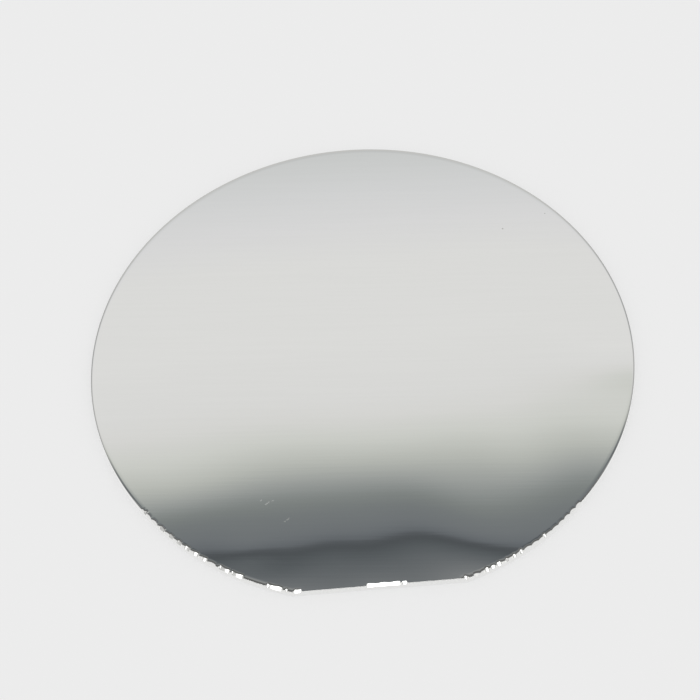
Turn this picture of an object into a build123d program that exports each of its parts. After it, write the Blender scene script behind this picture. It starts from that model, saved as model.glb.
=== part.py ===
from build123d import *
import os
from math import sqrt

# A polished molybdenum wafer, the bare metal disc that semiconductor layers are bonded to.
# It is one solid: a thin round disc with one flat ground across its rim, which turns the wafer
# the right way round, and with the edges of both faces ground round so that they don't chip.
#
# Frame: the origin is the centre of the round rim, on the back face. +Z points out of the
# polished face, and -Y points out of the flat. All sizes are in millimetres.

# Driving dimensions
DIAMETER = 100.0  # over the round rim
THICKNESS = 1.5  # from the back face to the polished face
FLAT_LENGTH = 31.0  # of the flat, from corner to corner before the corners are eased
CORNER_RADIUS = 0.8  # where the flat runs into the round rim
EDGE_RADIUS = 0.3  # of the rounding between each face and the rim

# Sizes that follow from them
radius = DIAMETER / 2
corner_x = FLAT_LENGTH / 2
flat_distance = sqrt(radius**2 - corner_x**2)  # from the centre to the flat


def outline():
    """The wafer seen from above: one long arc, closed by the flat."""
    rim = ThreePointArc((-corner_x, -flat_distance), (0, radius), (corner_x, -flat_distance))
    flat = Line((corner_x, -flat_distance), (-corner_x, -flat_distance))
    return make_face([rim, flat])


def cut_disc():
    """The disc as it is cut: square edges, with the two corners of the flat eased."""
    disc = extrude(outline(), amount=THICKNESS)
    corners = disc.edges().filter_by(Axis.Z)
    return fillet(corners, CORNER_RADIUS)


def wafer():
    """The finished wafer, with the edges of its back face and its polished face ground round."""
    disc = cut_disc()
    faces = disc.faces().filter_by(Axis.Z)
    return fillet(faces.edges(), EDGE_RADIUS)


os.makedirs("parts", exist_ok=True)
export_step(wafer(), "parts/wafer.step")
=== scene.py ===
from math import atan2, cos, exp, pi, radians, sin, sqrt, tan

import bmesh
import bpy
from mathutils import Matrix, Vector


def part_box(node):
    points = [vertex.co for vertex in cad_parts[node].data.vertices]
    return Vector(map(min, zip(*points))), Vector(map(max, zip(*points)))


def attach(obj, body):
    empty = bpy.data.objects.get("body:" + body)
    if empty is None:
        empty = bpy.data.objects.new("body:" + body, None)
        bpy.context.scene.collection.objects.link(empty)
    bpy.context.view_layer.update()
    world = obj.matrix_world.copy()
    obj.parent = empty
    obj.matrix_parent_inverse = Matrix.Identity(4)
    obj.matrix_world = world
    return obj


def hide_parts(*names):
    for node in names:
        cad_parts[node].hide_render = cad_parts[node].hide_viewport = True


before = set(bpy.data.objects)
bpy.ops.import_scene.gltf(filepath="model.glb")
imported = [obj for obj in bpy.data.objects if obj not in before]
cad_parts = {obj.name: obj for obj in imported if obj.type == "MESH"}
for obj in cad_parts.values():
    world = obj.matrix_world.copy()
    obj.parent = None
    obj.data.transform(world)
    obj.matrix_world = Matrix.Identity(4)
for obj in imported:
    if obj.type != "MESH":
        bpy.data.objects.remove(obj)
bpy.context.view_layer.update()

MM = 0.001

# The wafer: a disc of molybdenum sheet with one flat ground across its rim. Its upper face is
# lapped and polished to a mirror, its upper edge is dressed by hand in short strokes of the
# stone, and its back, which is out of sight here, is taken as left dull from lapping.
low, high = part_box("wafer")
RADIUS = high.y
FLAT = -low.y
THICKNESS = high.z
RIM_STEPS = 900
FLAT_STEPS = 260
NEAR_SIDE = -8 * MM
FACE_RINGS = 24
LOWER_ROUNDING = 0.20 * MM


def inset_at(x, y):
    """How far a point lies inside the outline: nothing at the rim, the radius at the centre."""
    return RADIUS * (1 - max(sqrt(x * x + y * y) / RADIUS, -y / FLAT))


def along_at(x, y):
    """How far round the outline a point lies, from the middle of the flat, plus to the right."""
    turn = atan2(abs(x), -y)
    corner = atan2(sqrt(RADIUS * RADIUS - FLAT * FLAT), FLAT)
    on_flat = FLAT * tan(min(turn, corner))
    on_rim = RADIUS * max(0, turn - corner)
    return (on_flat + on_rim) * (1 if x > 0 else -1)


def bell(distance, width):
    """A smooth hump: 1 in the middle, dying away on both sides."""
    return exp(-((distance / width) ** 2))


# Where the sheet stands high or low: across, along, half width, half length, height in mm. The
# first eight rows were fitted by a program to the mirrored tones and rounded, and the last was
# added. Lowest to highest place is 0.13 mm, and none of it was measured on a real sheet.
SHEET_WAVES = (
    (2.3, -46, 21, 42, 0.098),
    (11, -44, 9.6, 9.4, -0.068),
    (14.6, -43, 9.7, 10.4, 0.078),
    (-34, -32, 14, 13, 0.032),
    (-23, -39, 4.3, 4.0, 0.005),
    (-8, -44.5, 6.0, 7.0, -0.011),
    (29.6, -14, 8.3, 25, -0.048),
    (52, -3, 13, 7, 0.062),
    (-21, -41.5, 8, 1.8, -0.0022),
)
WAVE_MOST = 0.080 * MM


def sheet_wave(x, y):
    """How far the polished face stands over its nominal height, or under it."""
    rise = 0
    for across, along, half_width, half_length, height in SHEET_WAVES:
        side = bell(x - across * MM, half_width * MM)
        rise += height * MM * side * bell(y - along * MM, half_length * MM)
    return rise - WAVE_MOST


# The edge is dressed by hand. On both sides of the flat, short strokes of the stone left a row of
# scallops: where each row starts and ends along the outline, and the length of a stroke, in mm.
# Some flatter strokes left broad facets: the middle and half length of each, in mm.
CRISP_IN = 0.06 * MM
CRISP_DOWN = 0.07 * MM
SCALLOP_IN = 0.24 * MM
SCALLOP_SLOPE = 1.66
LEFT_SCALLOPS = (-48.5, -30.4, 2.0)
RIGHT_SCALLOPS = (16.5, 41.0, 1.65)
FACET_IN = 0.48 * MM
FACET_DOWN = 0.40 * MM
FACET_ENDS = 0.2
FACET_UNEVEN = 0.12
# Further round the rim than this, in mm, the facets are cut less steeply, by this share a mm
STEEP_UP_TO = 30
STEEP_LOST = 0.008
FACETS = (
    (-47.6, 0.2), (-42.9, 0.5), (-40.6, 0.4), (-38.6, 0.4), (-36.7, 0.5), (-34.7, 0.5),
    (-32.8, 0.4), (-28.6, 1.0), (-26.0, 1.1),
    (-18.8, 1.4), (-16.6, 0.1), (-14.6, 0.6), (0.6, 3.0), (4.3, 0.35), (15.2, 0.25),
    (19.2, 0.25), (20.4, 0.3), (21.6, 0.35), (23.2, 0.15), (24.8, 0.2), (26.3, 0.2), (31.6, 0.2),
)  # fmt: skip


def edge_at(x, y):
    """How far in and down the dressed edge goes here, and how full its curve is: 2 is round."""
    along = along_at(x, y) / MM
    wander = 0.5 * sin(along / 7.3) + 0.5 * sin(along / 3.1 + 1.7)
    reach = CRISP_IN
    depth = CRISP_DOWN
    fullness = 2.0
    for start, end, stroke in (LEFT_SCALLOPS, RIGHT_SCALLOPS):
        if start < along < end:
            lens = abs(sin(pi * (along + 0.3 * stroke * wander) / stroke)) ** 0.8
            reach += SCALLOP_IN * lens * (1 + 0.3 * sin(along / 1.9) + 0.15 * wander)
            depth = reach * SCALLOP_SLOPE
            fullness = 1.0
    broad = 0
    for middle, half in FACETS:
        broad = max(broad, min(1, (half + FACET_ENDS - abs(along - middle)) / FACET_ENDS))
    uneven = 1 + FACET_UNEVEN * sin(along * 2.7)
    steep = 1 - STEEP_LOST * max(0, abs(along) - STEEP_UP_TO)
    reach += (FACET_IN * uneven - reach) * broad
    depth += (FACET_DOWN * steep * uneven - depth) * broad
    return reach, depth, fullness + (1 - fullness) * broad


# Polishing rolls the last of the face off towards the dressed edge, but not along the flat
ROLL_IN = 0.36 * MM
ROLL_DOWN = 0.021 * MM
ROLL_FROM = 14 * MM
ROLL_BUILDS_UP = 2 * MM


def upper_height(x, y):
    """The height of the upper side: the polished face, rolling off to the dressed edge."""
    inset = inset_at(x, y)
    reach, depth, fullness = edge_at(x, y)
    across = max(0, min(1, inset / reach))
    fall = depth * (1 - (1 - (1 - across) ** fullness) ** (1 / fullness))
    on_round = min(1, max(0, abs(along_at(x, y)) - ROLL_FROM) / ROLL_BUILDS_UP)
    roll = ROLL_DOWN * on_round * max(0, 1 - max(0, inset - reach) / ROLL_IN) ** 2
    return THICKNESS - fall - roll + sheet_wave(x, y)


disc = bmesh.new()
bmesh.ops.create_circle(disc, cap_ends=True, radius=RADIUS, segments=RIM_STEPS)
bmesh.ops.bisect_plane(
    disc,
    geom=disc.verts[:] + disc.edges[:] + disc.faces[:],
    plane_co=(0, -FLAT, 0),
    plane_no=(0, -1, 0),
    clear_outer=True,
)
flat_edge = max(disc.edges, key=lambda edge: edge.calc_length())
near_edges = [e for e in disc.edges if e.verts[0].co.y < NEAR_SIDE and e != flat_edge]
bmesh.ops.subdivide_edges(disc, edges=near_edges, cuts=2)
bmesh.ops.subdivide_edges(disc, edges=[flat_edge], cuts=FLAT_STEPS - 1)
bmesh.ops.delete(disc, geom=disc.faces[:], context="FACES_ONLY")
outline = disc.edges[:]


def drawn_on(ring, inset_for, height_for):
    """Draws the next ring of the surface out of the last one, to an inset and a height."""
    grown = bmesh.ops.extrude_edge_only(disc, edges=ring)["geom"]
    for point in grown:
        if isinstance(point, bmesh.types.BMVert):
            x, y = point.co.x, point.co.y
            share = (RADIUS - inset_for(x, y)) / (RADIUS - inset_at(x, y))
            point.co = (x * share, y * share, height_for(x * share, y * share))
    return [part for part in grown if isinstance(part, bmesh.types.BMEdge)]


# From the foot of the wall up over the dressed edge and in to the centre of the polished face
bmesh.ops.translate(disc, vec=(0, 0, LOWER_ROUNDING), verts=disc.verts[:])
ring = outline
EDGE_RINGS = 6
creases = []
for step in range(EDGE_RINGS + 1):
    ring = drawn_on(ring, lambda x, y: edge_at(x, y)[0] * step / EDGE_RINGS, upper_height)
    if step in (0, EDGE_RINGS):
        creases += ring
ROLL_RINGS = 4
for step in range(1, ROLL_RINGS + 1):
    past = ROLL_IN * step / ROLL_RINGS
    ring = drawn_on(ring, lambda x, y: edge_at(x, y)[0] + past, upper_height)
DEEPEST_FACET = 1.2 * FACET_IN
MIDDLE_RADIUS = 1.2 * MM
RINGS_CROWD_OUT = 1.15
face_from = DEEPEST_FACET + ROLL_IN
face_to = RADIUS - MIDDLE_RADIUS
for step in range(FACE_RINGS + 1):
    inset = face_from + (face_to - face_from) * (step / FACE_RINGS) ** RINGS_CROWD_OUT
    ring = drawn_on(ring, lambda x, y: inset, upper_height)
middle = bmesh.ops.contextual_create(disc, geom=ring)["faces"]
bmesh.ops.poke(disc, faces=middle)

# From the same place down round the lower edge and in to the centre of the back
ring = outline
ROUNDING_STEPS = 5
for step in range(1, ROUNDING_STEPS + 1):
    turn = pi / 2 * step / ROUNDING_STEPS
    inset = LOWER_ROUNDING * (1 - cos(turn))
    height = LOWER_ROUNDING * (1 - sin(turn))
    ring = drawn_on(ring, lambda x, y: inset, lambda x, y: height)
BACK_INSETS = (1 * MM, 18 * MM, 46 * MM)
for inset in BACK_INSETS:
    ring = drawn_on(ring, lambda x, y: inset, lambda x, y: 0)
middle = bmesh.ops.contextual_create(disc, geom=ring)["faces"]
bmesh.ops.poke(disc, faces=middle)

for edge in creases:
    edge.smooth = False
for face in disc.faces:
    face.smooth = True
bmesh.ops.remove_doubles(disc, verts=disc.verts[:], dist=0.001 * MM)
bmesh.ops.recalc_face_normals(disc, faces=disc.faces[:])
wafer_mesh = bpy.data.meshes.new("wafer_disc")
disc.to_mesh(wafer_mesh)
disc.free()
wafer = bpy.data.objects.new("wafer_disc", wafer_mesh)
bpy.context.scene.collection.objects.link(wafer)


class Wire:
    """One output of a shader node; sums written on it add Math nodes to the same tree."""

    def __init__(self, tree, output):
        self.tree = tree
        self.output = output

    def node(self, kind, settings, sockets, output=0):
        """Adds any other node: first its settings, then the values or wires of its sockets."""
        made = self.tree.nodes.new(kind)
        for name, value in settings.items():
            if name == "stops":
                while len(made.color_ramp.elements) < len(value):
                    made.color_ramp.elements.new(1.0)
                for stop, (place, colour) in zip(made.color_ramp.elements, value):
                    stop.position = place
                    stop.color = (*colour, 1)
            elif name == "interpolation":
                made.color_ramp.interpolation = value
            else:
                setattr(made, name, value)
        for name, value in sockets.items():
            if isinstance(value, Wire):
                self.tree.links.new(value.output, made.inputs[name])
            else:
                made.inputs[name].default_value = value
        return Wire(self.tree, made.outputs[output])

    def maths(self, operation, first, second=0.0):
        return self.node("ShaderNodeMath", {"operation": operation}, {0: first, 1: second})

    def __add__(self, other):
        return self.maths("ADD", self, other)

    __radd__ = __add__

    def __sub__(self, other):
        return self.maths("SUBTRACT", self, other)

    def __rsub__(self, other):
        return self.maths("SUBTRACT", other, self)

    def __mul__(self, other):
        return self.maths("MULTIPLY", self, other)

    __rmul__ = __mul__

    def __truediv__(self, other):
        return self.maths("DIVIDE", self, other)

    def __pow__(self, other):
        return self.maths("POWER", self, other)

    def ramped(self, start, end, rise=(0.0, 1.0)):
        """Goes from the first to the second value of rise as this goes from start to end."""
        settings = {"interpolation_type": "SMOOTHSTEP"}
        sockets = {0: self, 1: start, 2: end, 3: rise[0], 4: rise[1]}
        return self.node("ShaderNodeMapRange", settings, sockets)

    def blended(self, none, full):
        """The first colour where this is 0, the second where it is 1."""
        settings = {"data_type": "RGBA"}
        return self.node("ShaderNodeMix", settings, {0: self, 6: none, 7: full}, output=2)


finish = bpy.data.materials.new("polished_molybdenum")
finish.use_nodes = True
metal = finish.node_tree.nodes["Principled BSDF"]
place = Wire(finish.node_tree, None).node("ShaderNodeTexCoord", {}, {}, output=3)
x = place.node("ShaderNodeSeparateXYZ", {}, {0: place})
y = Wire(finish.node_tree, x.output.node.outputs[1])
z = Wire(finish.node_tree, x.output.node.outputs[2])


# The lapping lines run a few degrees off the flat
LAY_TURN = radians(-4.5)


def stretched_noise(across, along, depth, detail, roughness=0.5):
    """Noise whose grains are this long across, along and down, in millimetres."""
    grain = (across * MM, along * MM, depth * MM)
    turned = {"vector_type": "TEXTURE"}
    at = place.node("ShaderNodeMapping", turned, {0: place, 2: (0, 0, LAY_TURN), 3: grain})
    return place.node("ShaderNodeTexNoise", {}, {0: at, 2: 1.0, 3: detail, 4: roughness})


# The dressed edge lies below the polished face, and the back below the wall
on_edge = z.ramped(THICKNESS - 0.16 * MM, THICKNESS - 0.12 * MM, (1.0, 0.0))
on_back = z.ramped(0.02 * MM, 0.10 * MM, (1.0, 0.0))
polished = (1 - on_edge) * (1 - on_back)

lay = stretched_noise(22, 0.55, 4, 3)
cloud = stretched_noise(16, 9, 4, 2)
grit = stretched_noise(0.25, 0.25, 0.25, 2)

MIRROR = (0.688, 0.688, 0.680, 1)
MIRROR_STREAK = (0.682, 0.682, 0.674, 1)
GROUND = (0.77, 0.77, 0.76, 1)
GROUND_PALE = (0.83, 0.83, 0.82, 1)
LAPPED = (0.52, 0.515, 0.50, 1)
face_colour = lay.ramped(0.35, 0.65).blended(MIRROR_STREAK, MIRROR)
edge_colour = grit.ramped(0.3, 0.7).blended(GROUND, GROUND_PALE)
colour = on_edge.blended(face_colour, edge_colour)
colour = on_back.blended(colour, LAPPED)
# Two specks of dirt on the polished face: where, and how wide
SPECKS = ((28.7, 28.0, 0.22), (37.0, 30.8, 0.16))
DIRT = (0.42, 0.41, 0.39, 1)
for speck_x, speck_y, width in SPECKS:
    away = ((x - speck_x * MM) ** 2.0 + (y - speck_y * MM) ** 2.0) ** 0.5
    colour = away.ramped(0.3 * width * MM, width * MM, (1.0, 0.0)).blended(colour, DIRT)
# How rough each is: the polish and its clouding, then what the edge and the back have more
POLISH_ROUGH = 0.012
CLOUD_ROUGH = 0.006
EDGE_ROUGH = 0.07
BACK_ROUGH = 0.34
SCRATCH_ROUGH = 0.13
rough = POLISH_ROUGH + CLOUD_ROUGH * cloud * polished
rough = rough + EDGE_ROUGH * on_edge * (1 - on_back) + BACK_ROUGH * on_back
# A few short scratches and one dull spot by the rim: middle, half length, half width, direction
SCRATCHES = (
    (-18.9, -28.8, 0.45, 0.10, 35), (-17.9, -28.4, 0.12, 0.10, 30), (-20.0, -28.1, 0.15, 0.10, 60),
    (-15.4, -32.5, 0.25, 0.09, 40), (-16.0, -32.9, 0.10, 0.09, 0), (35.0, -35.3, 0.30, 0.25, 50),
)  # fmt: skip
SCRATCH_ENDS = 0.15
scratched = 0.0
for middle_x, middle_y, half_length, half_width, turn in SCRATCHES:
    from_x = x - middle_x * MM
    from_y = y - middle_y * MM
    down = from_x * cos(radians(turn)) + from_y * sin(radians(turn))
    beside = from_y * cos(radians(turn)) - from_x * sin(radians(turn))
    past_end = (half_length + SCRATCH_ENDS) * MM
    down = down.maths("ABSOLUTE", down).ramped(half_length * MM, past_end, (1.0, 0.0))
    beside = beside.maths("ABSOLUTE", beside).ramped(0.0, 2 * half_width * MM, (1.0, 0.0))
    scratched = down * beside + scratched
rough = rough + SCRATCH_ROUGH * scratched
LAY_HEIGHT = 0.16
GRIT_HEIGHT = 2.0
height = LAY_HEIGHT * lay * polished + GRIT_HEIGHT * grit * (1 - polished)
bump = place.node("ShaderNodeBump", {}, {"Strength": 1.0, "Distance": 0.001 * MM, "Height": height})
metal.inputs["Metallic"].default_value = 1.0
finish.node_tree.links.new(colour.output, metal.inputs["Base Color"])
finish.node_tree.links.new(rough.output, metal.inputs["Roughness"])
finish.node_tree.links.new(bump.output, metal.inputs["Normal"])
wafer_mesh.materials.append(finish)

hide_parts("wafer")
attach(wafer, "root")

# The bench: a plain pale floor just under the wafer. It keeps the wafer's shadow.
FLOOR_HALF = 2.0
FLOOR_DROP = 0.01 * MM
PALE = 0.84
PALE_IN_METAL = 0.94
SHADOW_LIGHTENED = 0.7
bench = bmesh.new()
bmesh.ops.create_grid(bench, x_segments=1, y_segments=1, size=FLOOR_HALF)
bmesh.ops.translate(bench, vec=(0, 0, -FLOOR_DROP), verts=bench.verts[:])
bench_mesh = bpy.data.meshes.new("bench")
bench.to_mesh(bench_mesh)
bench.free()
floor = bpy.data.objects.new("bench", bench_mesh)
bpy.context.scene.collection.objects.link(floor)
pale = bpy.data.materials.new("pale_bench")
pale.use_nodes = True
paint = pale.node_tree.nodes["Principled BSDF"]
paint.inputs["Base Color"].default_value = (PALE, PALE, PALE, 1)
paint.inputs["Roughness"].default_value = 0.9
paint.inputs["Specular IOR Level"].default_value = 0.0
# Seen straight or in the metal, the bench glows a little, so that the shadow stays light
is_camera = Wire(pale.node_tree, None).node("ShaderNodeLightPath", {}, {})
in_metal = Wire(pale.node_tree, is_camera.output.node.outputs["Is Glossy Ray"])
glow_level = PALE + (PALE_IN_METAL - PALE) * in_metal
glow = is_camera.node("ShaderNodeEmission", {}, {"Color": (1, 1, 1, 1), "Strength": glow_level})
seen = is_camera.maths("MAXIMUM", in_metal, SHADOW_LIGHTENED * is_camera)
surface = Wire(pale.node_tree, paint.outputs[0])
surface = is_camera.node("ShaderNodeMixShader", {}, {0: seen, 1: surface, 2: glow})
output = pale.node_tree.nodes["Material Output"]
pale.node_tree.links.new(surface.output, output.inputs["Surface"])
bench_mesh.materials.append(pale)

# The room: a plain soft light from all round falls on the bench. Only the metal mirrors a pale
# panel behind the wafer, which ends in a soft edge under a dark ceiling, and a bright window on
# the near side, which the dressed edge catches. The room is a stage and no part of the wafer.
room = bpy.data.worlds.new("room")
room.use_nodes = True
bpy.context.scene.world = room
sky = room.node_tree.nodes["Background"]
way = Wire(room.node_tree, None).node("ShaderNodeTexCoord", {}, {}, output=0)
rightward = way.node("ShaderNodeSeparateXYZ", {}, {0: way})
backward = Wire(room.node_tree, rightward.output.node.outputs[1])
upward = Wire(room.node_tree, rightward.output.node.outputs[2])
BRIGHTEST = 4.0


def tinted(level, red=1.0, blue=0.985):
    """A level of light as a share of the brightest, with its red and blue against its green."""
    share = level / BRIGHTEST
    return (red * share, share, blue * share)


# What stands behind the wafer: the height over the bench in degrees, the level, and the tint.
# Up to 60 degrees the levels follow tones that a program measured, adjusted afterwards.
BEHIND = (
    (50.6, 0.740, 0.98, 1.00), (51.5, 0.850, 0.98, 1.00), (52.2, 0.930, 0.99, 1.01),
    (52.8, 0.980, 1.00, 1.01), (53.5, 1.020, 1.00, 0.99), (54.9, 1.025, 1.00, 0.99),
    (55.9, 0.995, 1.00, 0.99), (56.3, 0.955, 1.00, 0.98), (56.7, 0.872, 0.98, 0.95),
    (57.1, 0.703, 0.97, 0.94), (57.5, 0.488, 0.95, 0.97), (57.7, 0.388, 0.93, 0.98),
    (57.9, 0.316, 0.92, 0.98), (58.15, 0.274, 0.92, 1.02), (58.6, 0.243, 0.92, 1.06),
    (58.82, 0.205, 0.91, 1.09), (58.92, 0.135, 0.91, 1.09), (59.02, 0.115, 0.90, 1.08),
    (59.2, 0.150, 0.89, 1.07), (59.45, 0.200, 0.92, 1.06), (59.75, 0.275, 0.95, 1.03),
    (60.1, 0.390, 0.97, 1.00), (60.7, 0.180, 0.98, 0.98), (73.0, 0.180, 0.98, 0.98),
    (87.0, 0.480, 0.99, 0.98),
)  # fmt: skip
LOWEST = BEHIND[0][0]
HIGHEST = BEHIND[-1][0]


def share_of_way(degrees):
    """Where an upward direction comes on the ramp, which runs over the sines of the heights."""
    lowest = sin(radians(LOWEST))
    return (sin(radians(degrees)) - lowest) / (sin(radians(HIGHEST)) - lowest)


behind_stops = [(share_of_way(up), tinted(*light)) for up, *light in BEHIND]
climb = sin(radians(HIGHEST)) - sin(radians(LOWEST))
climbed = (upward - sin(radians(LOWEST))) / climb
panel = way.node(
    "ShaderNodeValToRGB", {"interpolation": "LINEAR", "stops": behind_stops}, {0: climbed}
)
WALL_TOP = 0.77
wall = upward.ramped(0.0, WALL_TOP).blended((*tinted(0.55), 1), (*tinted(0.78), 1))
far_side = way.maths("GREATER_THAN", climbed, 0.0).blended(wall, panel)
# The panel is not wide: to the left and right of it the room is dark
PANEL_SIDE = (0.13, 0.32)
across = way.maths("ABSOLUTE", rightward, 0.0)
beside = across.ramped(*PANEL_SIDE) * upward.ramped(-0.1, 0.0)
far_side = beside.blended(far_side, (*tinted(0.30), 1))
# What stands on the near side, by the sine of the height: the window is the brightest part
window_stops = (
    (0.00, tinted(1.05)),
    (0.14, tinted(1.25)),
    (0.22, tinted(0.52)),
    (0.56, tinted(0.70)),
    (0.60, tinted(4.0)),
    (0.78, tinted(4.0)),
    (0.82, tinted(0.50)),
    (0.87, tinted(0.17)),
    (0.96, tinted(0.18)),
    (1.00, tinted(0.50)),
)
near_side = way.node(
    "ShaderNodeValToRGB", {"interpolation": "LINEAR", "stops": window_stops}, {0: upward}
)
# The near side reaches further round at the far left and right
NEAR_TO_FAR = (-0.16, -0.06)
REACHES_FROM = 0.6
REACHES_BY = 0.8
reached = backward - REACHES_BY * way.maths("MAXIMUM", across - REACHES_FROM, 0.0)
mirrored = reached.ramped(*NEAR_TO_FAR).blended(near_side, far_side)
is_camera = way.node("ShaderNodeLightPath", {}, {})
is_glossy = Wire(room.node_tree, is_camera.output.node.outputs["Is Glossy Ray"])
plain = 1 / BRIGHTEST
pale_share = PALE * plain
shown = is_camera.blended((plain, plain, plain, 1), (pale_share, pale_share, pale_share, 1))
shown = is_glossy.blended(shown, mirrored)
room.node_tree.links.new(shown.output, sky.inputs["Color"])
sky.inputs["Strength"].default_value = BRIGHTEST

# The camera stands over the near side and looks down at the face, turned a little. Its place
# was fitted to the outline by a program and then adjusted.
CAMERA_DISTANCE = 555.6 * MM
CAMERA_RISE = radians(55.22)
CAMERA_TURN = radians(-4.64)
LOOKS_AT = Vector((-1.97 * MM, 3.95 * MM, 0))
lens = bpy.data.cameras.new("camera")
lens.sensor_width = 36
lens.lens = 154.3
lens.clip_start = 0.01
camera = bpy.data.objects.new("camera", lens)
bpy.context.scene.collection.objects.link(camera)
toward_camera = Vector((0, -cos(CAMERA_RISE), sin(CAMERA_RISE)))
camera.matrix_world = (
    Matrix.Translation(LOOKS_AT + toward_camera * CAMERA_DISTANCE)
    @ Matrix.Rotation(pi / 2 - CAMERA_RISE, 4, "X")
    @ Matrix.Rotation(CAMERA_TURN, 4, "Z")
)
bpy.context.scene.camera = camera
bpy.context.scene.view_settings.view_transform = "Standard"
